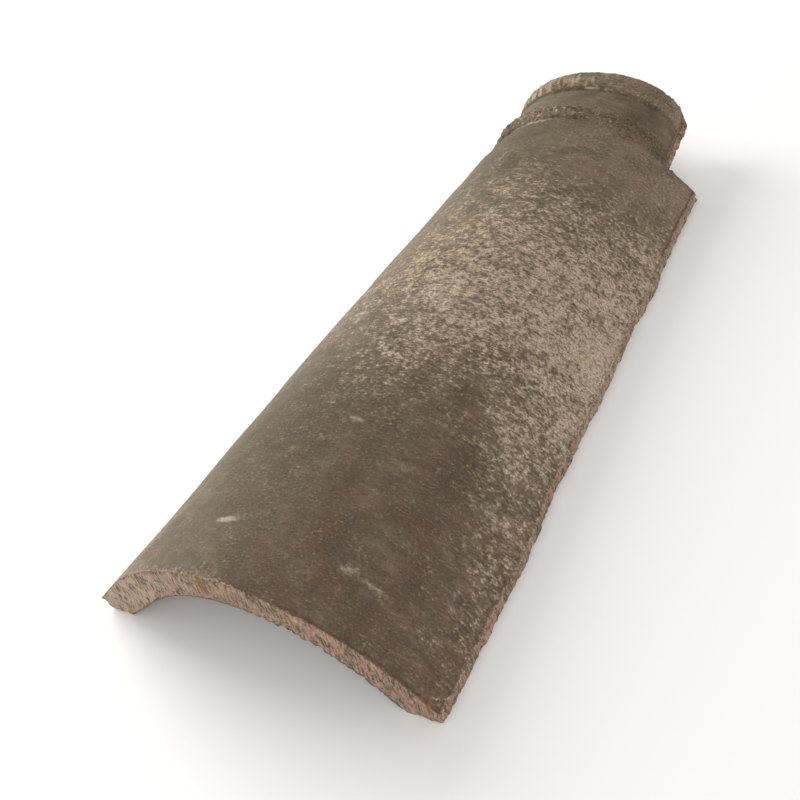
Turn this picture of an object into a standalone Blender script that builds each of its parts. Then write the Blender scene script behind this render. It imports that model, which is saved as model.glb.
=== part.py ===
"""Tapered half-round ridge tile with a cut-back head, lying crown up on its two long edges.

One piece of fired clay: a body that tapers from the wide end to the shoulders, then a narrower
head with a raised bead at the shoulder and a rolled bead along its end.
+Y runs from the wide end to the head, +Z is up, and the origin is on the ground, at the middle
of the tile's box. All sizes are in metres.
"""
import math

import bmesh
import bpy
from mathutils import Matrix

# ---- Driving dimensions ----
TOTAL_LENGTH = 0.458          # wide end to head end
BODY_LENGTH = 0.4015          # wide end to the shoulders
WIDE_WIDTH = 0.1943           # over the long edges at the wide end
WIDE_HEIGHT = 0.0545          # ground to the crown there
HEAD_WIDTH = 0.1646           # over the long edges at the shoulders
HEAD_HEIGHT = 0.0541
WIDE_SLOPE = math.radians(46.5)   # how steeply the straight legs come down, outside
HEAD_SLOPE = math.radians(43.5)
INNER_SLOPES = {-1: math.radians(41.5), 1: math.radians(44.0)}    # and inside, left and right
CROWN_WALL = 0.0154           # wall thickness at the crown
FOOT_WIDTH = 0.0198           # flat underside of each leg, at the wide end
HEAD_FOOT_WIDTH = 0.0190      # and at the shoulders
EDGE_TRIM = 0.0064            # height of the strip cut along each long edge
LEFT_UNDERCUT = 0.0055        # the left strip is cut square to its leg, so it leans in this far
LEAN = math.radians(2.27)     # the left leg is longer, so the tile stands leaning to its right
LEAN_AXIS = 0.0894            # where the ground cuts the tile's own level, right of its middle

NECK_ROOT_WIDTH = 0.1254      # the head, where it leaves the shoulders
NECK_END_WIDTH = 0.1124       # and at its end, below the rolled bead
NECK_END_HEIGHT = 0.0534      # ground to the crown at the head's end, below the bead
NECK_END_RISE = 0.0289        # from the head's side edges up to that crown
NECK_TRIM = 0.0048            # height of the strip cut along the head's side edges
NECK_SPLAY = (0.0022, 0.0038) # how far those strips lean out, at the shoulders and at the end
NECK_WALL = 0.0135            # wall thickness at the head's end

BEAD_START = 0.0006           # shoulder bead: from just past the shoulders ...
BEAD_WIDTH = 0.0170           # ... this far along the tile
BEAD_RAISE = 0.0036
BEAD_FADE = 0.80              # share of the head's half arch where both beads die out
ROLL_WIDTH = 0.0165           # rolled bead along the head's end
ROLL_RAISE = 0.0056           # at the crown; it is half as thick at the side edges

# Worn places on the long edges: side, distance from the wide end, half length, depth.
# A negative depth is a lump of clay that stands proud.
CHIPS = (
    (+1, 0.002, 0.014, 0.0007),
    (+1, 0.055, 0.036, -0.0009),
    (+1, 0.088, 0.026, -0.0016),
    (+1, 0.109, 0.010, -0.0012),
    (+1, 0.136, 0.014, 0.0006),
    (+1, 0.199, 0.014, -0.0011),
    (+1, 0.220, 0.024, -0.0008),
    (+1, 0.282, 0.012, -0.0008),
    (+1, 0.303, 0.025, -0.0017),
    (+1, 0.362, 0.044, 0.0003),
    (-1, 0.148, 0.024, 0.0012),
    (-1, 0.260, 0.016, 0.0018),
    (-1, 0.395, 0.014, 0.0020),
)

# Where the hand pressed the left leg in or left it full: distance from the wide end, half
# length, how far it stands out.
SWELLS = ((0.060, 0.060, -0.0006), (0.205, 0.095, 0.0007), (0.352, 0.080, -0.0014))
SWELL_SHARE = 0.75            # where it is most, as a share of the half arch
SWELL_SPREAD = 0.35

# ---- Facets ----
BODY_STEPS = 46               # along the body
BEAD_STEPS = 8                # across the shoulder bead
NECK_STEPS = 3                # between the beads
ROLL_STEPS = 6                # across the rolled bead
CROWN_FACETS = 14             # from the crown to where the head is cut back, each side
LEG_FACETS = 4                # from there down to the long edge

CLAY = (0.196, 0.155, 0.117)  # smoky grey-brown fired clay, linear RGB


def mix(a, b, t):
    return a + (b - a) * t


def arch_point(half_width, rise, slope, share):
    """A point of half an arch, at a share of its length from the crown.

    The arch is an arc that bends down to slope, then a straight leg.
    Returns the distance out from the middle and the drop below the crown.
    """
    bend = 1.0 - math.cos(slope)
    radius = (half_width * math.sin(slope) - rise * math.cos(slope)) / bend
    leg = (rise * math.sin(slope) - half_width * bend) / bend
    run = share * (radius * slope + leg)
    if run < radius * slope:
        return radius * math.sin(run / radius), radius * (1.0 - math.cos(run / radius))
    past = run - radius * slope
    out = radius * math.sin(slope) + past * math.cos(slope)
    return out, radius * bend + past * math.sin(slope)


def share_where(test, half_width, rise, slope):
    """The share of the half arch, from the crown, where test(out, drop) first holds."""
    low, high = 0.0, 1.0
    for _ in range(40):
        middle = 0.5 * (low + high)
        if test(*arch_point(half_width, rise, slope, middle)):
            high = middle
        else:
            low = middle
    return high


def ground(x):
    """The ground's height under x, in the tile's own level."""
    return (x - LEAN_AXIS) * math.tan(LEAN)


def reach(side, half_width, rise, slope):
    """Runs a leg on, or back, by as much as the ground under it lies lower or higher."""
    fall = ground(side * half_width)
    on = -fall / (math.sin(slope) + side * math.tan(LEAN) * math.cos(slope))
    return half_width + on * math.cos(slope), rise + on * math.sin(slope)


def body_arches(t, side):
    """Outer and inner arch of one side: half width, crown height, rise and slope."""
    half = mix(WIDE_WIDTH, HEAD_WIDTH, t) / 2
    crown = mix(WIDE_HEIGHT, HEAD_HEIGHT, t)
    foot = mix(FOOT_WIDTH, HEAD_FOOT_WIDTH, t)
    slope = mix(WIDE_SLOPE, HEAD_SLOPE, t)
    outer_half, outer_rise = reach(side, half, crown - EDGE_TRIM, slope)
    roof = crown - CROWN_WALL
    inner_slope = INNER_SLOPES[side]
    inner_half, inner_rise = reach(side, half - foot, roof, inner_slope)
    return (outer_half, crown, outer_rise, slope), (inner_half, roof, inner_rise, inner_slope)


def head_cut():
    """Where the head is cut back: for each side, the shares of the outer and inner arches at
    the shoulders, and the height of the head's side edges."""
    cuts = {}
    for side in (-1, 1):
        outer, inner = body_arches(1.0, side)
        outer_share = share_where(lambda out, drop: out > NECK_ROOT_WIDTH / 2,
                                  outer[0], outer[2], outer[3])
        top = outer[1] - arch_point(outer[0], outer[2], outer[3], outer_share)[1]
        edge = top - NECK_TRIM
        inner_share = share_where(lambda out, drop: inner[1] - drop < edge,
                                  inner[0], inner[2], inner[3])
        cuts[side] = (outer_share, inner_share, edge)
    return cuts


def half_shares(cut):
    """Shares of a half arch: even steps down to the cut, then even steps down the leg."""
    crown = [cut * i / CROWN_FACETS for i in range(CROWN_FACETS + 1)]
    leg = [mix(cut, 1.0, i / LEG_FACETS) for i in range(1, LEG_FACETS + 1)]
    return crown + leg


def chip_depth(side, y):
    """How far the long edge is worn back at y, in metres."""
    depth = 0.0
    for chip_side, centre, half_length, chip in CHIPS:
        away = abs(y - centre) / half_length
        if chip_side == side and away < 1.0:
            depth += chip * math.cos(away * math.pi / 2) ** 2
    return depth


def swell(side, y, share):
    """How far the outer arch stands out of its plain line, in metres."""
    most = 0.0
    for centre, half_length, out in SWELLS:
        away = abs(y - centre) / half_length
        if side < 0 and away < 1.0:
            most += out * math.cos(away * math.pi / 2) ** 2
    return most * math.exp(-((share - SWELL_SHARE) / SWELL_SPREAD) ** 2)


def body_ring(y, cuts):
    """The body's section at y: outer half arches, feet and inner half arches, as two halves."""
    halves = {}
    for side in (-1, 1):
        outer, inner = body_arches(y / BODY_LENGTH, side)
        worn = chip_depth(side, y)
        outside = []
        for share in half_shares(cuts[side][0]):
            out, drop = arch_point(outer[0], outer[2], outer[3], share)
            above = outer[1] - drop - ground(side * out) - EDGE_TRIM
            fade = max(0.0, 1.0 - above / (2 * EDGE_TRIM))
            full = swell(side, y, share)
            outside.append((side * (out - worn * fade + full * math.sin(outer[3])),
                            outer[1] - drop + full * math.cos(outer[3])))
        inside = []
        for share in half_shares(cuts[side][1]):
            out, drop = arch_point(inner[0], inner[2], inner[3], share)
            inside.append((side * out, inner[1] - drop))
        foot = side * (outer[0] - worn - (LEFT_UNDERCUT if side < 0 else 0.0))
        halves[side] = (outside, (foot, ground(foot)), inside)
    return halves


def bead_raise(along, share):
    """Height of the beads over the head's plain surface.

    along is the distance past the shoulders, share runs from the crown to the side edge."""
    height = 0.0
    across = (along - BEAD_START) / BEAD_WIDTH
    if 0.0 < across < 1.0:
        height += BEAD_RAISE * math.sin(across * math.pi) ** 0.8
    neck = TOTAL_LENGTH - BODY_LENGTH
    across = (along - neck + ROLL_WIDTH) / ROLL_WIDTH
    if across > 0.0:
        thick = 0.5 + 0.5 * math.cos(share * math.pi / 2) ** 2
        height += ROLL_RAISE * thick * math.sin(across * 0.75 * math.pi) ** 0.6
    return height * min(1.0, (1.0 - share) / (1.0 - BEAD_FADE))


def head_ring(along, cuts):
    """The head's section at a distance past the shoulders, as two halves."""
    t = along / (TOTAL_LENGTH - BODY_LENGTH)
    end_half = NECK_END_WIDTH / 2
    end_edge = NECK_END_HEIGHT - NECK_END_RISE - NECK_TRIM
    halves = {}
    for side in (-1, 1):
        outer, inner = body_arches(1.0, side)
        outside, inside = [], []
        for i in range(CROWN_FACETS + 1):
            share = i / CROWN_FACETS
            turn = share * math.pi / 2
            out, drop = arch_point(outer[0], outer[2], outer[3], share * cuts[side][0])
            end_drop = NECK_END_RISE * (1.0 - math.cos(turn))
            lift = bead_raise(along, share)
            lean = mix(outer[3] * share, turn, t)
            out = mix(out, end_half * math.sin(turn), t) + lift * math.sin(lean)
            height = mix(outer[1] - drop, NECK_END_HEIGHT - end_drop, t)
            outside.append((side * out, height + lift * math.cos(lean)))
            out, drop = arch_point(inner[0], inner[2], inner[3], share * cuts[side][1])
            end_roof = NECK_END_HEIGHT - NECK_WALL
            end_drop = (end_roof - end_edge) * (1.0 - math.cos(turn))
            inside.append((side * mix(out, (end_half - NECK_WALL) * math.sin(turn), t),
                           mix(inner[1] - drop, end_roof - end_drop, t)))
        foot = outside[-1][0] + side * mix(*NECK_SPLAY, t)
        halves[side] = (outside, (foot, mix(cuts[side][2], end_edge, t)), inside)
    return halves


def add_ring(mesh, halves, y, shared=None):
    """Adds a section's vertices, as full outer and inner rows from -X to +X and two feet.

    With shared, the outer and inner rows are taken from the middle of that ring."""
    if shared:
        rows = []
        for row in (shared["outer"], shared["inner"]):
            rows.append(row[LEG_FACETS:len(row) - LEG_FACETS])
    else:
        rows = []
        for part in (0, 2):
            points = halves[-1][part][:0:-1] + halves[1][part]
            rows.append([mesh.verts.new((x, y, z)) for x, z in points])
    feet = [mesh.verts.new((halves[side][1][0], y, halves[side][1][1])) for side in (-1, 1)]
    return {"outer": rows[0], "inner": rows[1], "feet": feet}


def loop_of(ring):
    """A ring's vertices in order round the section."""
    return ring["outer"] + [ring["feet"][1]] + ring["inner"][::-1] + [ring["feet"][0]]


def bridge(mesh, near, far):
    """Skins two rings that have the same count."""
    a, b = loop_of(near), loop_of(far)
    for i in range(len(a)):
        j = (i + 1) % len(a)
        mesh.faces.new((a[i], b[i], b[j], a[j]))


def close_end(mesh, ring):
    """Closes a cut end: a strip across the wall, and a triangle at each foot."""
    outer, inner, feet = ring["outer"], ring["inner"], ring["feet"]
    for i in range(len(outer) - 1):
        mesh.faces.new((outer[i], outer[i + 1], inner[i + 1], inner[i]))
    mesh.faces.new((outer[0], inner[0], feet[0]))
    mesh.faces.new((outer[-1], feet[1], inner[-1]))


def close_shoulders(mesh, body, neck):
    """The two cut faces that look towards the head, from the head's edges down to the feet."""
    for side in (0, 1):
        outer = body["outer"][::-1] if side else body["outer"]
        inner = body["inner"][::-1] if side else body["inner"]
        for i in range(LEG_FACETS - 1):
            mesh.faces.new((outer[i], outer[i + 1], inner[i + 1], inner[i]))
        mesh.faces.new((outer[0], inner[0], body["feet"][side]))
        last = LEG_FACETS - 1
        corner = neck["feet"][side]
        mesh.faces.new((outer[last], outer[last + 1], corner, inner[last + 1], inner[last]))


def stand(mesh):
    """Stands the tile on the ground, leaning, with the origin under its middle."""
    bmesh.ops.rotate(mesh, verts=mesh.verts, matrix=Matrix.Rotation(LEAN, 3, "Y"))
    across = [vert.co.x for vert in mesh.verts]
    middle = (min(across) + max(across)) / 2
    lift = LEAN_AXIS * math.sin(LEAN)
    bmesh.ops.translate(mesh, verts=mesh.verts, vec=(-middle, -TOTAL_LENGTH / 2, lift))


def build_tile():
    cuts = head_cut()
    mesh = bmesh.new()
    rings = []
    for i in range(BODY_STEPS + 1):
        y = BODY_LENGTH * i / BODY_STEPS
        rings.append(add_ring(mesh, body_ring(y, cuts), y))
    neck_length = TOTAL_LENGTH - BODY_LENGTH
    stops = [(0.0, BEAD_START, 1), (BEAD_START, BEAD_START + BEAD_WIDTH, BEAD_STEPS),
             (BEAD_START + BEAD_WIDTH, neck_length - ROLL_WIDTH, NECK_STEPS),
             (neck_length - ROLL_WIDTH, neck_length, ROLL_STEPS)]
    neck_root = add_ring(mesh, head_ring(0.0, cuts), BODY_LENGTH, shared=rings[-1])
    neck = [neck_root]
    for start, stop, steps in stops:
        for i in range(1, steps + 1):
            along = mix(start, stop, i / steps)
            neck.append(add_ring(mesh, head_ring(along, cuts), BODY_LENGTH + along))
    for near, far in zip(rings, rings[1:]):
        bridge(mesh, near, far)
    for near, far in zip(neck, neck[1:]):
        bridge(mesh, near, far)
    close_end(mesh, rings[0])
    close_end(mesh, neck[-1])
    close_shoulders(mesh, rings[-1], neck_root)
    bmesh.ops.recalc_face_normals(mesh, faces=mesh.faces)
    bmesh.ops.triangulate(mesh, faces=mesh.faces)
    stand(mesh)
    data = bpy.data.meshes.new("half_round_tile")
    mesh.to_mesh(data)
    mesh.free()
    data.shade_smooth()
    data.set_sharp_from_angle(angle=math.radians(35))
    return data


def fired_clay():
    material = bpy.data.materials.new("fired_clay")
    material.use_nodes = True
    shader = material.node_tree.nodes["Principled BSDF"]
    shader.inputs["Base Color"].default_value = (*CLAY, 1.0)
    shader.inputs["Roughness"].default_value = 0.85
    shader.inputs["Metallic"].default_value = 0.0
    return material


def main():
    for old in list(bpy.context.scene.objects):
        bpy.data.objects.remove(old)
    tile = bpy.data.objects.new("half_round_tile", build_tile())
    tile.data.materials.append(fired_clay())
    bpy.context.scene.collection.objects.link(tile)


main()
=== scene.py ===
import math

import bpy
import numpy as np
from bpy.props import FloatProperty, FloatVectorProperty, PointerProperty
from mathutils import Matrix, Vector, noise


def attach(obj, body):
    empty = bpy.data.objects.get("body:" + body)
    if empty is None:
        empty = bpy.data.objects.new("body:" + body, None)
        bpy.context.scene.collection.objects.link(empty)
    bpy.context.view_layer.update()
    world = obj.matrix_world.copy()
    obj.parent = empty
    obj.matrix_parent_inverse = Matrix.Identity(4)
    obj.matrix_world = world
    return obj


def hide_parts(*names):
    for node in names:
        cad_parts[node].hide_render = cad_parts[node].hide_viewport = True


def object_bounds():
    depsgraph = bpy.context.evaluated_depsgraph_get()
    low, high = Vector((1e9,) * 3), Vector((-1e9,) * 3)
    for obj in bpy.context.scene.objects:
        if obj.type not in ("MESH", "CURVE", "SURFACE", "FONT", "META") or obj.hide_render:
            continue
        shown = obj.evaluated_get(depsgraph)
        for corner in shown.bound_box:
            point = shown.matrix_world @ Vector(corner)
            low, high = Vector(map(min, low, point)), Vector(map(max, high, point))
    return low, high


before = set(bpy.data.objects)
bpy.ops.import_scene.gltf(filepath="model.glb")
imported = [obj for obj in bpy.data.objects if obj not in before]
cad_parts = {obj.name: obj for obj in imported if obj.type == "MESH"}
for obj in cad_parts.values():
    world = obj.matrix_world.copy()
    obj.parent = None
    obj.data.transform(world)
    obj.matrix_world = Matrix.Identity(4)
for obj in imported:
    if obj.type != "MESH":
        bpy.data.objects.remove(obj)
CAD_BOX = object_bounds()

bl_info = {
    "name": "Half-round ridge tile",
    "version": (1, 0, 0),
    "blender": (4, 5, 0),
    "location": "View3D > Sidebar > Ridge tile",
    "description": "Lays a weathered half-round ridge tile on a pale studio floor",
    "category": "Object",
}

MM = 0.001

# ---- How finely the tile's skin is divided ----
CROWN_COLUMNS = 118           # across the arch, between the lines where the head is cut back
LEG_COLUMNS = 26              # from each of those lines down to a long edge
STRIP_ROWS = 8                # down the upright strip of a long edge
FOOT_ROWS = 10                # across the underside of a foot
END_RINGS, BODY_RINGS = 6, 270
END_STEP = 0.0008             # from ring to ring next to the wide end, in metres
NOTCH_RINGS, HEAD_RINGS = 5, 67
INSIDE_EVERY = 3              # the underside has every third ring only
WALL_PLACE = 0.015            # how deep in the clay the underside counts as lying
HALVINGS = 40                 # to find where an arch reaches a given place
SOFTENINGS = 3                # of the border between skin and cut clay, a face wide each
ARRIS_TURN, ARRIS_SPREAD = 12.0, 1.6          # how readily and how widely a turn is an arris

# ---- The stage ----
FLOOR_HALF = 4.0              # half of the floor's side, in metres
FLOOR_GAP = 0.1 * MM          # from the floor up to the tile
LIGHTS = (                    # name, place and side of the square in metres, watts
    ("window_light", (-1.6, 0.5, 0.66), 1.2, 44.0),
    ("front_light", (1.2, -1.3, 1.1), 1.2, 14.0),
)
AIM = Vector((-0.0017, -0.0706, 0.0231))      # where the camera looks
SENSOR_WIDTH, CLIP_END = 36.0, 20.0           # the camera's, in mm and in metres


# ---- Sizes, colours and studio, as a user would change them ----
def linear(code):
    """A colour from its sRGB hex value, as linear RGB."""
    parts = [int(code[i:i + 2], 16) / 255.0 for i in (1, 3, 5)]
    return tuple(p / 12.92 if p <= 0.04045 else ((p + 0.055) / 1.055) ** 2.4 for p in parts)


def length(name, text, size):
    return FloatProperty(name=name, description=text, default=size, precision=4,
                         unit="LENGTH", subtype="DISTANCE")


def angle(name, text, degrees):
    return FloatProperty(name=name, description=text, default=math.radians(degrees),
                         unit="ROTATION", subtype="ANGLE")


def colour(name, text, code):
    return FloatVectorProperty(name=name, description=text, default=linear(code), size=3,
                               min=0.0, max=1.0, subtype="COLOR")


class RidgeTileSizes(bpy.types.PropertyGroup):
    """The tile's own sizes."""
    total_length: length("Total length", "Wide end to the head's end", 0.458)
    body_length: length("Body length", "Wide end to the shoulders", 0.4015)
    wide_width: length("Wide end width", "Over the long edges at the wide end", 0.1943)
    wide_height: length("Wide end height", "Ground to the crown at the wide end", 0.0545)
    shoulder_width: length("Shoulder width", "Over the long edges at the shoulders", 0.1646)
    shoulder_height: length("Shoulder height", "Ground to the crown at the shoulders", 0.0541)
    wide_slope: angle("Wide end slope", "The legs' outer slope at the wide end", 46.5)
    shoulder_slope: angle("Shoulder slope", "The legs' outer slope at the shoulders", 43.5)
    inner_slope: angle("Inner slope", "The right leg's slope inside", 44.0)
    inner_slope_left: angle("Left inner slope", "The left leg's slope inside", 41.5)
    crown_wall: length("Crown wall", "Wall thickness at the crown", 0.0154)
    wide_foot: length("Wide end foot", "Flat underside of a leg at the wide end", 0.0198)
    shoulder_foot: length("Shoulder foot", "Flat underside of a leg at the shoulders", 0.0190)
    edge_trim: length("Edge trim", "Height of the strip cut along a long edge", 0.0064)
    left_undercut: length("Left undercut", "How far the left edge's strip leans in", 0.0055)
    lean: angle("Lean", "The left leg is longer, so the tile leans to its right", 2.27)
    lean_axis: length("Lean axis", "Where the ground cuts the tile's own level", 0.0894)
    neck_root_width: length("Neck root width", "The head where it leaves the shoulders", 0.1254)
    neck_end_width: length("Neck end width", "The head at its end", 0.1124)
    neck_end_height: length("Neck end height", "Ground to the crown at the head's end", 0.0534)
    neck_end_rise: length("Neck end rise", "The head's side edges up to that crown", 0.0289)
    neck_trim: length("Neck trim", "Height of the head's side strips", 0.0048)
    root_splay: length("Root splay", "How far the side strips lean out at the shoulders", 0.0022)
    end_splay: length("End splay", "How far they lean out at the head's end", 0.0038)
    neck_wall: length("Neck wall", "Wall thickness at the head's end", 0.0135)
    notch_radius: length("Notch radius", "Rounding where the neck meets a shoulder", 0.0030)
    bead_start: length("Bead start", "From the shoulders to the raised band", 0.0006)
    bead_width: length("Bead width", "The raised band, along the tile", 0.0170)
    bead_raise: length("Bead raise", "How far the band stands up", 0.0036)
    roll_width: length("Roll width", "The rolled end, along the tile", 0.0165)
    roll_raise: length("Roll raise", "How far the rolled end stands up", 0.0056)


class RidgeTileColours(bpy.types.PropertyGroup):
    """The colours of the clay and of what has settled on it."""
    smoke: colour("Smoked skin", "Dark skin the kiln's smoke left", "#605144")
    # Also laid as the painted sheen on the left front corner
    wiped_and_sheen: colour("Wiped skin", "Lighter drags of the wet hand in that skin", "#806F5F")
    peat: colour("Peaty skin", "Browner places in that skin", "#69523F")
    # Also laid as the painted green-grey grazing tint over the left side
    algae_and_grazing_tint: colour("Algae", "Thin greenish film", "#615E48")
    dust: colour("Dust", "Pale grains in the skin", "#968474")
    bloom: colour("Bloom", "Green-grey film that the skin shows at a low angle", "#8C8C70")
    lichen: colour("Lichen", "Crust over the middle of the tile", "#BCA795")
    lichen_warm: colour("Old lichen", "Yellower crust, most on the crown's left", "#B0A681")
    lichen_fresh: colour("Fresh lichen", "Palest crumbs of the crust", "#DACAB9")
    lichen_shade: colour("Lichen shade", "Thin crust between its crumbs", "#8C7C67")
    clay: colour("Clay", "Pinkish body where it was cut", "#98796A")
    clay_pale: colour("Pale clay", "Dry, sandy clay in the cut", "#94836C")
    clay_light: colour("Light clay", "Grains that the cutter tore up", "#C2AC97")
    clay_rosy: colour("Rosy clay", "Pinker clay, most of it toward the right", "#A87664")
    clay_red: colour("Red clay", "Rust-brown spots", "#8C573C")
    grime: colour("Grime", "Brown dirt along the arrises", "#5B3F30")
    soil: colour("Soil", "Dirt in pits, and the darkest smoke", "#3E3226")
    # Also the colour of the painted highlights along the head's two ledges
    scuff_and_highlight: colour("Scuff", "Pale rubbed marks", "#AFA290")
    underside: colour("Underside", "Sanded clay inside the arch", "#8A6D5A")


class RidgeTileStudio(bpy.types.PropertyGroup):
    """The camera and the light."""
    turn: angle("Camera turn", "Camera's turn round the tile from the wide end", 40.49)
    rise: angle("Camera rise", "Camera's height above the horizon", 39.44)
    tilt: angle("Camera tilt", "Camera's roll", -18.22)
    distance: length("Camera distance", "Camera to the point it looks at", 0.5725)
    lens: FloatProperty(name="Lens", description="Focal length", default=47.17,
                        unit="CAMERA", min=1.0)
    floor: colour("Floor", "Plain pale floor", "#F4F3F1")
    sky: FloatProperty(name="Room light", description="Even light from all round", default=0.60)


# ---- Shape: sections of the tile ----
def mix(a, b, t):
    """From a at t 0 to b at t 1."""
    return a + (b - a) * t


def side_of(x):
    """-1 on the left and 1 on the right."""
    return np.where(x < 0, -1, 1)


def neck_length(s):
    """From the shoulders to the head's end."""
    return s.total_length - s.body_length


def neck_end_edge(s):
    """How high the underside of the head's side edges is at its end."""
    return s.neck_end_height - s.neck_end_rise - s.neck_trim


def arch(shape, share):
    """Points of half an arch, at shares of its length from the crown.

    Its shape is its half width, the crown's height, the rise to the crown and the slope. It is
    an arc that bends down to that slope, then a straight leg. Returns the distances out from
    the middle, the heights and the length of the half arch."""
    half_width, crown, rise, slope = shape
    bend = 1.0 - np.cos(slope)
    radius = (half_width * np.sin(slope) - rise * np.cos(slope)) / bend
    leg = (rise * np.sin(slope) - half_width * bend) / bend
    run = share * (radius * slope + leg)
    turn = np.minimum(run / radius, slope)
    past = np.maximum(run - radius * slope, 0.0)
    out = radius * np.sin(turn) + past * np.cos(slope)
    drop = radius * (1.0 - np.cos(turn)) + past * np.sin(slope)
    return out, crown - drop, radius * slope + leg


def ground(s, x):
    """The ground's height under x, in the tile's own level."""
    return (x - s.lean_axis) * np.tan(s.lean)


def reach(s, side, half_width, rise, slope):
    """Runs a leg on, or back, by as much as the ground under it lies lower or higher."""
    fall = ground(s, side * half_width)
    on = -fall / (np.sin(slope) + side * np.tan(s.lean) * np.cos(slope))
    return half_width + on * np.cos(slope), rise + on * np.sin(slope)


def body_arches(s, t, side):
    """The shapes of the body's outer and inner arch on a side."""
    half = mix(s.wide_width, s.shoulder_width, t) / 2
    crown = mix(s.wide_height, s.shoulder_height, t)
    foot = mix(s.wide_foot, s.shoulder_foot, t)
    slope = mix(s.wide_slope, s.shoulder_slope, t)
    roof = crown - s.crown_wall
    outer_half, outer_rise = reach(s, side, half, crown - s.edge_trim, slope)
    inside = np.where(np.asarray(side) < 0, s.inner_slope_left, s.inner_slope)
    inner_half, inner_rise = reach(s, side, half - foot, roof, inside)
    return (outer_half, crown, outer_rise, slope), (inner_half, roof, inner_rise, inside)


def body_rows(s, t, signed_share, which):
    """Across, out and height of rows of points on the outer (0) or inner (1) arch."""
    side = side_of(signed_share)
    out, height, run = arch(body_arches(s, t, side)[which], np.abs(signed_share))
    return run * signed_share, side * out, height


def share_where(test):
    """The share, from 0 to 1, where test(share) first holds."""
    low, high = 0.0, 1.0
    for _ in range(HALVINGS):
        middle = 0.5 * (low + high)
        low, high = (low, middle) if test(middle) else (middle, high)
    return high


def head_cut(s, side):
    """Where the head is cut back: shares of the outer and inner arches at the shoulders, the
    outer share with the notch's rounding, and the height of the head's side edges."""
    outer, inner = body_arches(s, 1.0, side)
    half = s.neck_root_width / 2
    cut = share_where(lambda share: arch(outer, share)[0] > half)
    round_cut = share_where(lambda share: arch(outer, share)[0] > half + s.notch_radius)
    edge = arch(outer, cut)[1] - s.neck_trim
    inside = share_where(lambda share: arch(inner, share)[1] < edge)
    return {"outer": cut, "round": round_cut, "inner": inside, "edge": edge}


def on_sides(cuts, name, side):
    """One of the cut's values, for each column by the side that it is on."""
    return np.where(side < 0, cuts[-1][name], cuts[1][name])


def columns(cuts, name):
    """Signed shares of a whole arch, from the left long edge to the right one, as a row."""
    rows = []
    for side in (-1, 1):
        crown = np.linspace(0.0, cuts[side][name], CROWN_COLUMNS // 2 + 1)[1:]
        leg = np.linspace(cuts[side][name], 1.0, LEG_COLUMNS + 1)[1:]
        rows.append(side * np.concatenate([crown, leg]))
    return np.concatenate([rows[0][::-1], [0.0], rows[1]])[None]


def bead_lift(s, past, share):
    """Height of the raised band and the rolled end over the head's plain surface.

    share runs from 0 at the crown to 1 at a side edge. The roll thins to half on the way, and
    both run out over the last fifth."""
    t = np.clip((past - s.bead_start) / s.bead_width, 0.0, 1.0)
    band = s.bead_raise * np.maximum(np.sin(t * np.pi), 0.0) ** 0.8
    t = np.clip((past - neck_length(s) + s.roll_width) / s.roll_width, 0.0, 1.0)
    thick = 0.5 + 0.5 * np.cos(share * np.pi / 2) ** 2
    roll = s.roll_raise * thick * np.maximum(np.sin(t * 0.75 * np.pi), 0.0) ** 0.6
    return (band + roll) * np.clip((1.0 - share) / 0.2, 0.0, 1.0)


def head_rows(s, cuts, past, place):
    """Outer and inner rows of the head, at distances past the shoulders (a column array).

    place runs from -1 at the left side edge to 1 at the right one."""
    side, share = side_of(place), np.abs(place)
    t = past / neck_length(s)
    outer, inner = body_arches(s, 1.0, side)
    radius = s.notch_radius
    to_go = np.clip(radius - past, 0.0, radius)
    flare = (radius - np.sqrt(radius ** 2 - to_go ** 2)) / radius
    root_share = share * mix(on_sides(cuts, "outer", side), on_sides(cuts, "round", side),
                             flare)
    root_out, root_height, run = arch(outer, root_share)
    turn = share * np.pi / 2
    end_half = s.neck_end_width / 2
    lift = bead_lift(s, past, share)
    lean = mix(outer[3] * share, turn, t)
    out = mix(root_out, end_half * np.sin(turn), t) + lift * np.sin(lean)
    height = mix(root_height, s.neck_end_height - s.neck_end_rise * (1 - np.cos(turn)), t)
    outside = (side * root_share * run, side * out, height + lift * np.cos(lean))

    root_share_in = share * on_sides(cuts, "inner", side)
    root_out, root_height, run = arch(inner, root_share_in)
    end_crown = s.neck_end_height - s.neck_wall
    end_height = end_crown - (end_crown - neck_end_edge(s)) * (1 - np.cos(turn))
    out = mix(root_out, (end_half - s.neck_wall) * np.sin(turn), t)
    height = mix(root_height, end_height, t)
    inside = (side * root_share_in * run + 0.0 * t, side * out, height)
    return outside, inside


# ---- Shape: the skin, put together from grids that share their borders ----
PAGE = 510.0                  # side of the flat page that the surface is laid out on, in mm
PAGE_OUTSIDE, PAGE_INSIDE = 116.0, 332.0      # middle lines of the two arches on it
PAGE_SIDES = {-1: 431.0, 1: 461.0}            # left border of each long edge
PAGE_ENDS = 491.0             # left border of the column that holds the cut ends, and
PAGE_WIDE, PAGE_HEAD, PAGE_SHOULDERS = 2.0, 240.0, (402.0, 440.0)     # how far up each is
SIDES = ((-1, 0), (1, -1))    # left and right, with the end of a row that each is at


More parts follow.
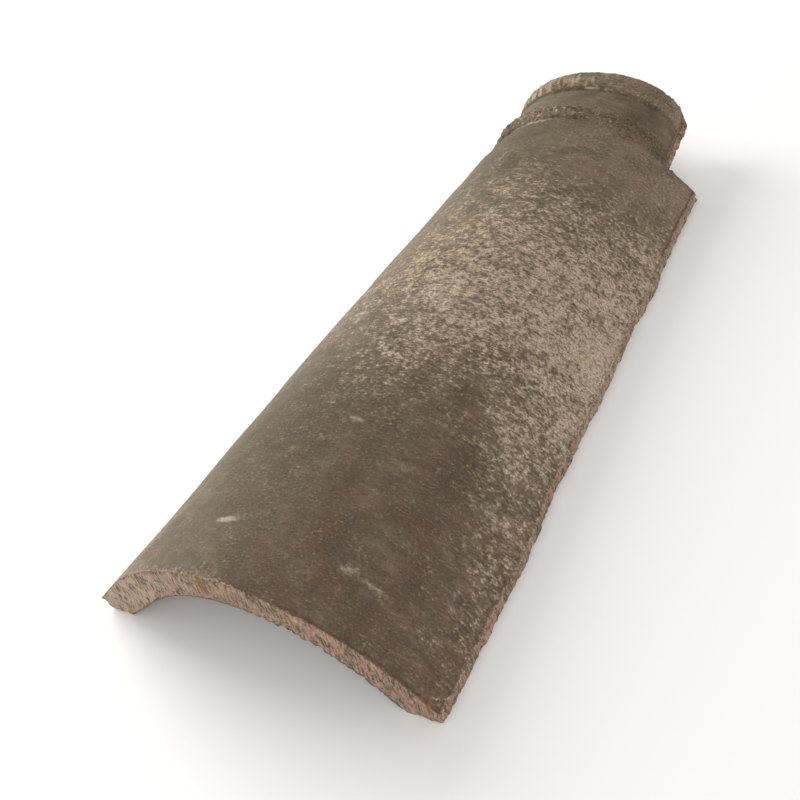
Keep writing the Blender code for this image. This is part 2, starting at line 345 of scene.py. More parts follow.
class Skin:
    """The tile's vertices and faces while it is put together.

    Each vertex keeps where it is, in metres, its place on the clay (across the arch, along the
    tile and deep in the wall, in millimetres) and the region of the surface that it is in. Each
    face keeps its corners' places on the flat page."""

    def __init__(self):
        self.points, self.places = np.zeros((0, 3)), np.zeros((0, 3))
        self.regions, self.faces, self.pages = [], [], []

    def add(self, point, place, region):
        """Adds an array of vertices and returns their numbers, in the same shape."""
        point, place = (np.stack(np.broadcast_arrays(*fields), -1) for fields in (point, place))
        shape = point.shape[:-1]
        numbers = len(self.points) + np.arange(int(np.prod(shape))).reshape(shape)
        self.points = np.concatenate([self.points, point.reshape(-1, 3)])
        self.places = np.concatenate([self.places, place.reshape(-1, 3)])
        self.regions += [region] * numbers.size
        return numbers

    def grid(self, numbers, page):
        """Skins a grid of vertices that lies on the page at page."""
        low, high = slice(None, -1), slice(1, None)
        corners = [(low, low), (low, high), (high, high), (high, low)]
        self.faces += np.stack([numbers[c].reshape(-1) for c in corners], 1).tolist()
        self.pages += np.stack([page[c].reshape(-1, 2) for c in corners], 1).tolist()

    def stitch(self, fine, coarse, flip):
        """Joins two rows, each a list of vertex numbers and one of places on the page. The
        coarse row has a point for every INSIDE_EVERYth point of the fine one."""
        half = INSIDE_EVERY // 2 + 1
        for i in range(len(coarse[0]) - 1):
            start = i * INSIDE_EVERY
            corners = [((coarse, i), (fine, start + k), (fine, start + k + 1))
                       for k in range(half)]
            corners.append(((coarse, i), (fine, start + half), (coarse, i + 1)))
            corners += [((coarse, i + 1), (fine, start + k), (fine, start + k + 1))
                        for k in range(half, INSIDE_EVERY)]
            for triangle in corners:
                triangle = triangle[::-1] if flip else triangle
                self.faces.append([int(row[0][k]) for row, k in triangle])
                self.pages.append([list(row[1][k]) for row, k in triangle])


def rings(stops):
    """A column of distances from stops, which are (start, stop, steps)."""
    found = [np.array([stops[0][0]])]
    for start, stop, steps in stops:
        found.append(np.linspace(start, stop, steps + 1)[1:])
    return np.concatenate(found)[:, None]


def side_path(top, low, inner):
    """Down a side strip and across the foot, one row a ring: across, out, height and deep.

    top and inner are across, out and height of the outer and the inner row's last points, low
    is out and height of the corner between strip and foot."""
    down = np.linspace(0.0, 1.0, STRIP_ROWS + 1)
    over = np.linspace(0.0, 1.0, FOOT_ROWS + 1)[1:]
    across = np.concatenate([top[0] + 0.0 * down, mix(top[0], inner[0], over)], 1)
    out, height = (np.concatenate([mix(top[k], low[k - 1], down),
                                   mix(low[k - 1], inner[k], over)], 1) for k in (1, 2))
    strip = np.abs(top[2] - low[1])
    deep = np.concatenate([strip * down, mix(strip, WALL_PLACE, over) + 0.0 * out[:, :1]], 1)
    return across, out, height, deep


def build_stretch(skin, y, outer, inner, low, first=None):
    """Adds a stretch of rings: the outer grid, both sides and the inner grid.

    outer and inner are across, out and height of their rows, and low for each side is out and
    height of the corner between its strip and its foot. first holds the numbers of the ring
    that the stretch shares with the one before. Returns the numbers of every row."""
    start = 0 if first is None else 1

    def lay(fields, rows, region):
        across, out, height, deep = (np.broadcast_to(f, fields[1].shape) for f in fields)
        return skin.add((out[start:], rows[start:], height[start:]),
                        (across[start:] / MM, rows[start:] / MM, deep[start:] / MM), region)

    def after(shared, numbers):
        return numbers if first is None else np.concatenate([shared[None], numbers], 0)

    def page(middle, across, rows):
        across, rows = np.broadcast_arrays(across / MM, rows / MM)
        return np.stack([middle + across, rows], -1)

    across, out, height = outer
    numbers = after(first and first["outer"], lay((across, out, height, 0.0), y, "skin"))
    skin.grid(numbers, page(PAGE_OUTSIDE, across, y))
    coarse = slice(0, None, INSIDE_EVERY)
    in_y = y[coarse]
    in_across, in_out, in_height = (f[coarse, 1:-1] for f in inner)
    inside = after(first and first["inner"][1:-1],
                   lay((in_across, in_out, in_height, WALL_PLACE), in_y, "inside"))
    in_page = page(PAGE_INSIDE, in_across, in_y)
    skin.grid(inside[:, ::-1], in_page[:, ::-1])

    paths = {}
    for side, edge in SIDES:
        one = slice(edge, edge + 1 or None)
        fields = side_path([f[:, one] for f in outer], low[side], [f[:, one] for f in inner])
        made = lay([f[:, 1:] for f in fields], y, "edge")
        path = np.concatenate([numbers[:, one], after(first and first["path"][side][1:], made)],
                              1)
        run = np.cumsum(np.hypot(np.diff(fields[1]), np.diff(fields[2])), 1)
        run = np.concatenate([0.0 * y, run], 1)
        order = slice(None, None, side)
        skin.grid(path[:, order], page(PAGE_SIDES[side], run, y)[:, order])
        border = page(PAGE_INSIDE, np.repeat(inner[0][:, one][:1], len(y), 0), y)[:, 0]
        skin.stitch((path[:, -1], border), (inside[:, edge], in_page[:, edge]), side > 0)
        paths[side] = path
    full = np.concatenate([paths[-1][coarse, -1:], inside, paths[1][coarse, -1:]], 1)
    return {"outer": numbers, "inner": full, "path": paths}


def fill(top, bottom, left, right):
    """A grid between four borders. Its rows run from top to bottom."""
    v = np.linspace(0.0, 1.0, len(left))[:, None, None]
    u = np.linspace(0.0, 1.0, len(top))[None, :, None]
    ruled = mix(top[None], bottom[None], v) + mix(left[:, None], right[:, None], u)
    return ruled - mix(mix(top[0], top[-1], u), mix(bottom[0], bottom[-1], u), v)


def close(skin, borders, page_low, flip):
    """Fills the face between four borders of vertex numbers: outer row, inner row, and the
    paths that join them on the left and on the right."""
    points, places = (fill(*(field[row] for row in borders))
                      for field in (skin.points, skin.places))
    made = skin.add(np.moveaxis(points[1:-1, 1:-1], -1, 0),
                    np.moveaxis(places[1:-1, 1:-1], -1, 0), "end")
    top, bottom, left, right = borders
    numbers = np.concatenate([left[1:-1, None], made, right[1:-1, None]], 1)
    numbers = np.concatenate([top[None], numbers, bottom[None]], 0)
    steps = np.linalg.norm(np.diff(skin.points[top], axis=0), axis=1) / MM
    run = page_low + np.concatenate([[0.0], np.cumsum(steps)])
    deep = PAGE_ENDS + np.linspace(0.0, WALL_PLACE / MM, len(left))
    page = np.stack(np.broadcast_arrays(deep[:, None], run[None]), -1)
    order = slice(None, None, 1 if flip else -1)
    skin.grid(numbers[:, order], page[:, order])


def neck_root_path(s, skin, ends, side):
    """The vertices between the outer and the inner corner of the neck, at the shoulders."""
    down = np.linspace(0.0, 1.0, STRIP_ROWS + 1)[1:, None]
    over = np.linspace(0.0, 1.0, FOOT_ROWS + 1)[1:-1, None]
    top, inner = skin.points[ends]
    corner = np.array([top[0] + side * s.root_splay, top[1], inner[2]])
    point = np.concatenate([mix(top, corner, down), mix(corner, inner, over)])
    place = mix(*skin.places[ends], np.linspace(0.0, 1.0, len(point) + 2)[1:-1, None])
    return np.concatenate([ends[:1], skin.add(point.T, place.T, "edge"), ends[1:]])


def build_skin(s):
    """The whole tile, plain: body, head, both cut ends and the shoulders."""
    skin, cuts = Skin(), {side: head_cut(s, side) for side in (-1, 1)}
    end = END_STEP * END_RINGS
    y = rings([(0.0, end, END_RINGS), (end, s.body_length, BODY_RINGS)])
    t = y / s.body_length
    low = {}
    for side in (-1, 1):
        foot = side * (body_arches(s, t, side)[0][0] - (s.left_undercut if side < 0 else 0.0))
        low[side] = (foot, ground(s, foot))
    body = build_stretch(skin, y, body_rows(s, t, columns(cuts, "round"), 0),
                         body_rows(s, t, columns(cuts, "inner"), 1), low)

    turns = np.linspace(np.pi / 2, 0.0, NOTCH_RINGS + 1)
    notch = s.notch_radius * (1.0 - np.sin(turns))
    past = rings([(s.notch_radius, neck_length(s), HEAD_RINGS)])
    past = np.concatenate([notch[:-1, None], past])
    outer, inner = head_rows(s, cuts, past, np.linspace(-1.0, 1.0, CROWN_COLUMNS + 1)[None])
    t = past / neck_length(s)
    crown = slice(LEG_COLUMNS, -LEG_COLUMNS)
    last = {name: body[name][-1] for name in ("outer", "inner")}
    first = {"outer": last["outer"][crown], "inner": last["inner"][crown], "path": {}}
    for side, edge in SIDES:
        ends = np.array([first["outer"][edge], first["inner"][edge]])
        first["path"][side] = neck_root_path(s, skin, ends, side)
        low[side] = (outer[1][:, edge][:, None] + side * mix(s.root_splay, s.end_splay, t),
                     mix(cuts[side]["edge"], neck_end_edge(s), t))
    head = build_stretch(skin, s.body_length + past, outer, inner, low, first)

    paths = {side: body["path"][side] for side in (-1, 1)}
    close(skin, (body["outer"][0], body["inner"][0], paths[-1][0], paths[1][0]),
          PAGE_WIDE, False)
    close(skin, (head["outer"][-1], head["inner"][-1], head["path"][-1][-1],
                 head["path"][1][-1]), PAGE_HEAD, True)
    leg = LEG_COLUMNS + 1
    close(skin, (last["outer"][-leg:], last["inner"][-leg:], first["path"][1], paths[1][-1]),
          PAGE_SHOULDERS[0], True)
    close(skin, (last["outer"][:leg], last["inner"][:leg], paths[-1][-1], first["path"][-1]),
          PAGE_SHOULDERS[1], True)
    return skin


# ---- Relief: worn arrises, chips, grain and drag marks ----
WEAR = (                      # side, then in mm: from the wide end, half length, depth
    (+1, 2, 14, 0.7), (+1, 55, 36, -0.9), (+1, 88, 26, -1.9), (+1, 109, 9, -1.2),
    (+1, 136, 14, 0.6), (+1, 156, 8, -0.5), (+1, 199, 14, -1.2), (+1, 220, 24, -0.9),
    (+1, 240, 10, -0.4), (+1, 268, 9, 0.5), (+1, 282, 12, -0.9), (+1, 303, 25, -1.7),
    (+1, 362, 44, 0.3), (-1, 148, 24, 1.2), (-1, 260, 16, 1.8), (-1, 395, 14, 2.0),
)
SWELLS = (                    # left leg: from the wide end, half length, how far it stands out
    (60, 60, -0.6), (205, 95, 0.7), (352, 80, -1.4),
)
NOISES = {                    # where it is laid, its size in mm, octaves, stretch, shift
    "sway": ("clay", 62.0, 2, (1, 1, 1), 3.7),        # of the whole wall as it dried
    "grain": ("clay", 2.6, 4, (1, 1, 1), 0.0),        # sand and torn grit
    "drag": ("clay", 4.0, 3, (4, 1, 1), 0.0),         # of a wet hand across the arch
    "pits": ("clay", 3.0, 3, (1, 1, 1), 9.0),         # in the crumbly band
    "streaks": ("clay", 2.0, 3, (1, 7, 1), 0.0),      # along the rolled end
    "lumps": ("clay", 7.0, 3, (1, 1, 1), 5.0),        # on the long edges
    "ripples": ("clay", 6.0, 3, (1, 5, 1), 0.0),      # along the inside
    "strokes": ("cut", 1.9, 3, (1, 1, 7), 2.0),       # of the cutter down the cut ends
    "flakes": ("cut", 4.0, 3, (1, 1, 1), 21.0),       # lost from the arrises
}
ROUGHNESS = {                 # how far each noise stands up there, in mm
    "skin": {"grain": 0.12, "drag": 0.10},
    "band": {"grain": 0.90, "pits": -0.90},
    "roll": {"grain": 0.25, "streaks": 0.45},
    "edge": {"grain": 0.90, "lumps": 0.60},
    "end": {"grain": 0.35, "strokes": 0.45},
    "inside": {"grain": 0.15, "ripples": 0.25},
}
SCUFFS = (                    # across, along, half length, half width, turn, strength
    (-25, 34, 8, 2.4, 10, 0.75), (-36, 146, 7, 2, 0, 0.5), (4, 109, 7, 2, -5, 0.6),
    (20, 21, 9, 3, 0, 0.25), (44.5, 31, 7, 3.4, 20, 0.55), (58, 29.5, 13, 2.0, -5, 0.56),
    (-48, 88, 7, 1.5, 0, 0.3), (56, 109, 4, 2, 20, 0.3),
)
RUST = (                      # across, along, deep, size, strength
    (-18, 0, 2, 5, 0.7), (-17, 0, 7, 4, 0.4), (-100, 0, 14, 6, 0.9), (-54, 0, 14, 5, 0.7),
    (66, 0, 7, 5, 0.4), (8, 0, 6, 4, 0.35), (104, 1, 1.5, 5.5, 1), (-38, 408, 0, 7, 0.4),
    (34, 452, 0, 4, 0.6), (-40, 448, 0, 8, 0.3),
)


def ramp(value, low, high):
    """Smoothly from 0 at low to 1 at high."""
    t = np.clip((value - low) / (high - low), 0.0, 1.0)
    return t * t * (3.0 - 2.0 * t)


def bump(value, centre, width):
    """A bell, 1 at centre. At width to either side it is down to 0.37."""
    return np.exp(-((value - centre) / width) ** 2)


def mound(value, centre, half):
    """1 at centre and smoothly down to 0 at half to either side."""
    return np.cos(np.clip(np.abs(value - centre) / half, 0.0, 1.0) * np.pi / 2) ** 2


# Patches: how much, its shape across the arch and its shape along the tile. A shape is a ramp,
# from where it begins to where it is full, or a bump, with its middle and its width, in mm
PATCHES = {
    "lichen": ((0.14, ramp, 76, 100, bump, 225, 42), (0.08, ramp, 76, 100, bump, 40, 50),
               (-0.3, bump, 101, 14, bump, 121, 17)),
    "smoky": ((1.0, bump, -38, 36, bump, 104, 54), (0.3, bump, -2, 20, bump, 158, 44),
              (0.14, bump, 35, 40, bump, 115, 50), (0.35, bump, 14, 24, bump, 393, 16)),
    "wiped_and_sheen": ((0.5, ramp, -15, 25, ramp, 305, 376), (0.2, ramp, 55, 85, ramp, 345, 385),
              # Painted sheen: the left front corner, paler where the light grazes it
              (0.9, ramp, -58, -84, ramp, 75, 25)),
    "warm": ((1.0, ramp, 25, -35, ramp, 150, 230),),
}


def laid(name, across, along):
    """A field's patches, added up."""
    return sum(much * wide(across, x, x_to) * long(along, y, y_to)
               for much, wide, x, x_to, long, y, y_to in PATCHES[name])


def fractal(places, size, octaves, stretch=(1, 1, 1), shift=0.0):
    """Fractal noise, about -1 to 1, with features about size millimetres across."""
    scaled = places / (np.array(stretch) * size) + shift
    return np.array([noise.fractal(p, 1.0, 2.0, octaves) for p in scaled.tolist()])


def wear_depth(side, along):
    """How far the long edges are worn back, in millimetres. Lumps of clay count below nothing."""
    return sum((side == worn) * most * mound(along, centre, half)
               for worn, centre, half, most in WEAR)


def swell(across, along):
    """How far the hand left the left leg standing out of its plain line, in millimetres. It is
    strongest near the long edge."""
    most = sum(out * mound(along, centre, half) for centre, half, out in SWELLS)
    return most * bump(across, -98.0, 46.0)


def corners_of(faces):
    """Faces as four corners each. A triangle has its last corner twice."""
    return np.array([f if len(f) == 4 else f + f[-1:] for f in faces])


def face_normals(points, corners):
    """Each face's normal, as long as twice its area."""
    a, b, c, d = (points[corners[:, k]] for k in range(4))
    return np.cross(c - a, d - b)


def gather(values, corners, count):
    """Adds each face's values up at its corners."""
    where = corners.T.reshape(-1)
    return np.stack([np.bincount(where, np.tile(column, 4), count) for column in values.T], 1)


def at_corners(values, corners, count):
    """Each vertex's mean of the values of the faces that it is in."""
    return gather(values, corners, count) / gather(np.ones((len(values), 1)), corners, count)


def unit(vectors):
    """The vectors at length 1."""
    return vectors / np.maximum(np.linalg.norm(vectors, axis=1, keepdims=True), 1e-12)


def sharpness(points, corners):
    """How sharply the surface turns at each vertex: 0 where it is flat."""
    normals = unit(face_normals(points, corners))
    return 1.0 - np.linalg.norm(at_corners(normals, corners, len(points)), axis=1)


def near(values, corners):
    """The values of the vertices, each smoothed over the faces that it is in."""
    return at_corners(values[corners].mean(1), corners, len(values))


def near_arris(points, corners):
    """How near each vertex is to an arris, from 0 to 1."""
    arris = np.clip(sharpness(points, corners) * ARRIS_TURN, 0.0, 1.0)[:, None]
    return np.clip(near(arris, corners) * ARRIS_SPREAD, 0.0, 1.0)[:, 0]


def on_head(s, past):
    """The raised band as a field, fullest a little before its middle, then that middle and the
    rolled end's start, both in mm past the shoulders."""
    middle = (s.bead_start + s.bead_width / 2) / MM
    band = bump(past, middle - 1.5, 0.5 * s.bead_width / MM)
    return band, middle, (neck_length(s) - s.roll_width) / MM


def clay_relief(s, places, spots, region, arris):
    """How far each vertex stands above the plain surface, in millimetres.

    places are on the clay, spots are the same vertices in plain space."""
    across, along, deep = places.T
    past = along - s.body_length / MM
    skin, edge, end, inside = (region == name for name in ("skin", "edge", "end", "inside"))
    band, _, roll_start = on_head(s, past)
    roll = skin * ramp(past, roll_start, roll_start + 1.5)
    rough = {name: fractal({"clay": places, "cut": spots}[where], *how)
             for name, (where, *how) in NOISES.items()}
    rough["pits"] = ramp(rough["pits"], 0.0, 0.35)
    rough["flakes"] = ramp(rough["flakes"], -0.1, 0.4)
    parts = {"skin": skin, "band": skin * band, "roll": roll, "end": end, "inside": inside,
             "edge": edge * np.where(across < 0.0, 0.4, 1.0)}     # the left edge is smoother
    height = 0.4 * rough["sway"] + (skin | end) * swell(across, along)
    for part, noises in ROUGHNESS.items():
        height += parts[part] * sum(much * rough[name] for name, much in noises.items())

    # Arrises: ragged below on the right of the wide end, flaked above, most of all on its left
    rightward = ramp(across, -10.0, 30.0)
    height += inside * arris * (0.5 + 2.4 * rough["grain"] * (along < 3.0) * rightward)
    deepest = 0.6 + (along < 2.0) * (deep < 7.0) * mix(1.4, 0.6, rightward) \
        * (np.abs(across) < 92.0)
    height -= arris * (0.05 + deepest * rough["flakes"]) * ~inside

    # The lost right corner of the wide end
    height -= 1.2 * bump(along, 0.0, 2.5) * ramp(across, 105.0, 111.0) * ~inside

    # Head: a lip and a groove where the rolled end starts, and a groove before the raised band
    for at, wide, much in ((roll_start + 0.8, 0.8, 0.35), (roll_start - 1.2, 1.2, -0.35),
                           (s.bead_start / MM - 0.6, 0.8, -0.45)):
        height += much * skin * bump(past, at, wide)
    return height


def edge_margin(s, places, skin):
    """How far up the skin each vertex lies from the long edge, in millimetres. Off the skin it
    counts as far away."""
    across, along = places.T[:2]
    t = np.clip(along * MM / s.body_length, 0.0, 1.0)
    border = arch(body_arches(s, t, side_of(across))[0], 1.0)[2] / MM
    neck = skin & (along > (s.body_length + s.notch_radius) / MM)
    border = np.where(along > s.body_length / MM, np.abs(across[neck]).max(), border)
    return np.where(skin, border - np.abs(across), np.inf)


def settled(s, places, region):
    """What has settled on the clay, and the painted highlights, sheen and grazing tint, as named
    fields from 0 to 1 for the material to read.
    """
    across, along, deep = places.T
    past = along - s.body_length / MM
    body, outside = past < 0.0, region != "inside"
    skin, edge, end = (region == name for name in ("skin", "edge", "end"))
    band, bead_middle, roll_start = on_head(s, past)
    band = band * skin
    roll = ramp(past, roll_start - 0.5, roll_start + 1.5) * outside
    patches, ragged = fractal(places, 42.0, 3, shift=1.3), fractal(places, 5.0, 3, shift=31.0)

    # Lichen: over the middle of the tile, and down to the wide end on the right
    right = ramp(across, 50.0, 105.0)
    rise = ramp(along + 12.0 * patches, mix(75.0, -70.0, right), mix(230.0, 205.0, right))
    fall = 1.0 - ramp(along + 10.0 * patches, mix(266.0, 292.0, right), mix(398.0, 416.0, right))
    lichen = (rise * fall) ** 0.75 * (1.0 + 0.12 * patches)
    lichen *= mix(1.0, 0.60, ramp(-across, 0.0, 70.0)) - 0.15 * bump(across, -17.0, 17.0)
    lichen += laid("lichen", across, along) - 0.09 * bump(along, 290.0, 24.0)
    lichen += 0.16 * bump(across, -12.0, 10.0) * (1.0 - rise) * body
    lichen += 0.08 * bump(across, -20.0, 26.0) * ramp(along, 300.0, 330.0) * (past < -3.0)
    lichen += band * mix(0.35, 0.65, bump(across, -8.0, 38.0))
    lichen += roll * 0.35 * bump(across, -20.0, 34.0)

    # Smoke, and the skin that a hand wiped paler; the same field also holds a painted sheen, the
    # left front corner made paler where the light grazes it
    smoky = laid("smoky", across, along)
    smoky += 1.3 * bump(across, -36.0, 30.0) * ramp(along, 278.0, 372.0) * body
    wiped_and_sheen = laid("wiped_and_sheen", across, along) + 0.25 * ramp(along, 305.0, 376.0)
    wiped_and_sheen = np.maximum(wiped_and_sheen, 0.4 * roll) * (1.0 - 0.6 * band)
    wiped_and_sheen *= 1.0 - 0.8 * (past > bead_middle) * (1.0 - roll)

    # Grime along the arrises, bare clay beside them, and where the cut clay is pinker or sandier
    margin, rightward = edge_margin(s, places, skin), ramp(across, 0.0, 30.0)
    grime = edge * (0.7 * bump(deep, 0.3, 0.9) + 0.4 * (past > 0.0))
    grime += (across > 0.0) * bump(margin + ragged, 2.2, 0.9) * mix(0.6, 1.0, ramp(along, 300, 340))
    grime += end * bump(deep, 0.0, 1.0) * rightward
    grime += 0.8 * skin * bump(along + ragged, 1.2, 1.0) * ramp(across, 5.0, 30.0)
    front_left = skin * ramp(-across, -25.0, 10.0)
    bare = np.maximum(body * (1.0 - ramp(margin + 1.2 * ragged, 0.3, 1.6)),
                      front_left * (1.0 - ramp(along + 1.8 * ragged, 0.2, 2.4)))
    rosy = edge * bump(along, 130.0, 70.0) + end * ramp(across, 5.0, 60.0)
    sandy = end * ramp(-across, 0.0, 95.0) * (along < 1.0)
    sandy += 0.8 * edge * ramp(along, 145.0, 190.0) * ramp(ragged, -0.25, 0.25)

    # Scuffs and painted highlights: painted highlights along the rolled end's start and along the
    # shoulders, then pale scuffs along the wide end, and single ones
    broken = 0.75 + 0.6 * ragged
    # Painted highlight: a pale line along the rolled end's start, where its ledge catches the light
    scuffs_and_highlights = [0.8 * bump(past, roll_start + 0.4, 0.7) * bump(across, 6.0, 26.0) * broken,
              # Painted highlight: a pale line along the shoulders, at the raised band's front edge
              0.8 * bump(past, 0.2, 0.8) * bump(across, -28.0, 24.0),
              0.4 * bump(along, 2.0, 6.0) * front_left * broken]
    for x, y, half, thick, turn, strength in SCUFFS:
        c, d = math.cos(math.radians(turn)), math.sin(math.radians(turn))
        u, v = (across - x) * c + (along - y) * d, (along - y) * c - (across - x) * d
        scuffs_and_highlights.append(strength * bump(u, 0.0, half) * bump(v, 0.0, thick))
    rust = [strength * bump(np.linalg.norm(places - spot, axis=1), 0.0, size)
            for *spot, size, strength in RUST]
    fields = {
        "lichen": 0.7 * lichen * outside, "warm": laid("warm", across, along),
        # Painted grazing tint: green-grey over the left side, as it looks at a low angle, full on
        # the left of the arch and gone right of its crown
        "painted_grazing_tint": ramp(across, 40.0, -45.0), "wiped_and_sheen": wiped_and_sheen, "smoky": smoky,
        "front": ramp(along, 90.0, 20.0), "scuff_and_highlight": np.max(scuffs_and_highlights, 0), "rust": np.max(rust, 0),
        "rosy": rosy, "sandy": sandy, "band": band,
        "roll": roll * mix(0.6, 1.0, ramp(across, 30.0, -30.0)), "grime": grime, "bare": bare,
    }
    return {name: np.clip(values, 0.0, 1.0) for name, values in fields.items()}


def stand(s, points):
    """Stands the tile on the ground, leaning, with the origin under its middle."""
    points = points @ np.array(Matrix.Rotation(s.lean, 3, "Y").transposed())
    middle = (points[:, 0].min() + points[:, 0].max()) / 2
    return points - (middle, s.total_length / 2, -s.lean_axis * math.sin(s.lean))


def carve(skin, s):
    """Wears, rounds and roughens the plain skin. Returns its points and its fields."""
    points, places = skin.points.copy(), skin.places
    region, corners = np.array(skin.regions), corners_of(skin.faces)
    side = side_of(points[:, 0])
    above = points[:, 2] - ground(s, points[:, 0]) - s.edge_trim
    fade = np.clip(1.0 - above / (2 * s.edge_trim), 0.0, 1.0)
    fade *= (region != "inside") * (points[:, 1] < s.body_length + 1e-6)
    half = body_arches(s, points[:, 1] / s.body_length, side)[0][0]
    fade *= ramp(np.abs(points[:, 0]), half - s.wide_foot, half - 0.2 * s.wide_foot)
    points[:, 0] -= side * wear_depth(side, points[:, 1] / MM) * MM * fade
    spots = points / MM
    points = stand(s, points)
    arris = near_arris(points, corners)
    normals = unit(gather(face_normals(points, corners), corners, len(points)))
    height = clay_relief(s, places, spots, region, arris)
    points = np.clip(points + normals * height[:, None] * MM, CAD_BOX[0], CAD_BOX[1])
    fields = settled(s, places, region)

    # The cut clay starts softly at its border, and further in where the arris is bare
    bare = fields.pop("bare")
    for name in ("edge", "end", "inside"):
        soft = (region == name).astype(float)[:, None]
        for _ in range(SOFTENINGS):
            soft = near(soft, corners)
        fields[name] = soft[:, 0]
    fields["edge"] = np.maximum(fields["edge"], bare)
    return points, spots, fields


# ---- Material ----
def add(tree, kind, sockets=(), **settings):
    """Adds a node. sockets are (input, value), and a value is a number or name, a colour or the
    output that feeds the input."""
    made = tree.nodes.new(kind)
    for name, value in settings.items():
        setattr(made, name, value)
    for name, value in sockets:
        if isinstance(value, bpy.types.NodeSocket):
            tree.links.new(value, made.inputs[name])
        elif made.inputs[name].type == "RGBA":
            made.inputs[name].default_value = (*value, 1.0)
        else:
            made.inputs[name].default_value = value
    return made


GRAINS = {                    # where it is laid, its size on each axis in mm, detail, roughness
    "drag": ("clay_place", (14.0, 4.5, 4.5), 5.0, 0.60),     # drags of a hand across the arch
    "axial": ("clay_place", (2.6, 9.0, 2.6), 4.0, 0.65),     # drags along the rolled end
    "blotch": ("clay_place", (26.0, 30.0, 30.0), 4.0, 0.55), # smoke that took unevenly
    "stain": ("clay_place", (19.0, 15.0, 15.0), 3.0, 0.6),   # brown and green films
    "sand": ("clay_place", (1.3, 0.8, 0.8), 2.0, 0.7),       # sand, twice its 0.4 mm, to show
    "crumb": ("clay_place", (2.2, 1.4, 1.4), 3.0, 0.7),      # crumbs of lichen
    "fleck": ("clay_place", (4.4, 3.4, 3.4), 3.0, 0.55),     # flecks of it
    "clot": ("clay_place", (13.0, 10.0, 10.0), 3.0, 0.55),   # where the flecks crowd
    "grit": ("clay_place", (1.7, 1.7, 1.7), 3.0, 0.65),      # torn grit in a cut
    "clump": ("clay_place", (7.0, 7.0, 7.0), 2.0, 0.5),      # paler and redder clay
    "stroke": ("cut_place", (1.25, 1.25, 6.0), 4.0, 0.62),   # upright strokes of the cutter
}


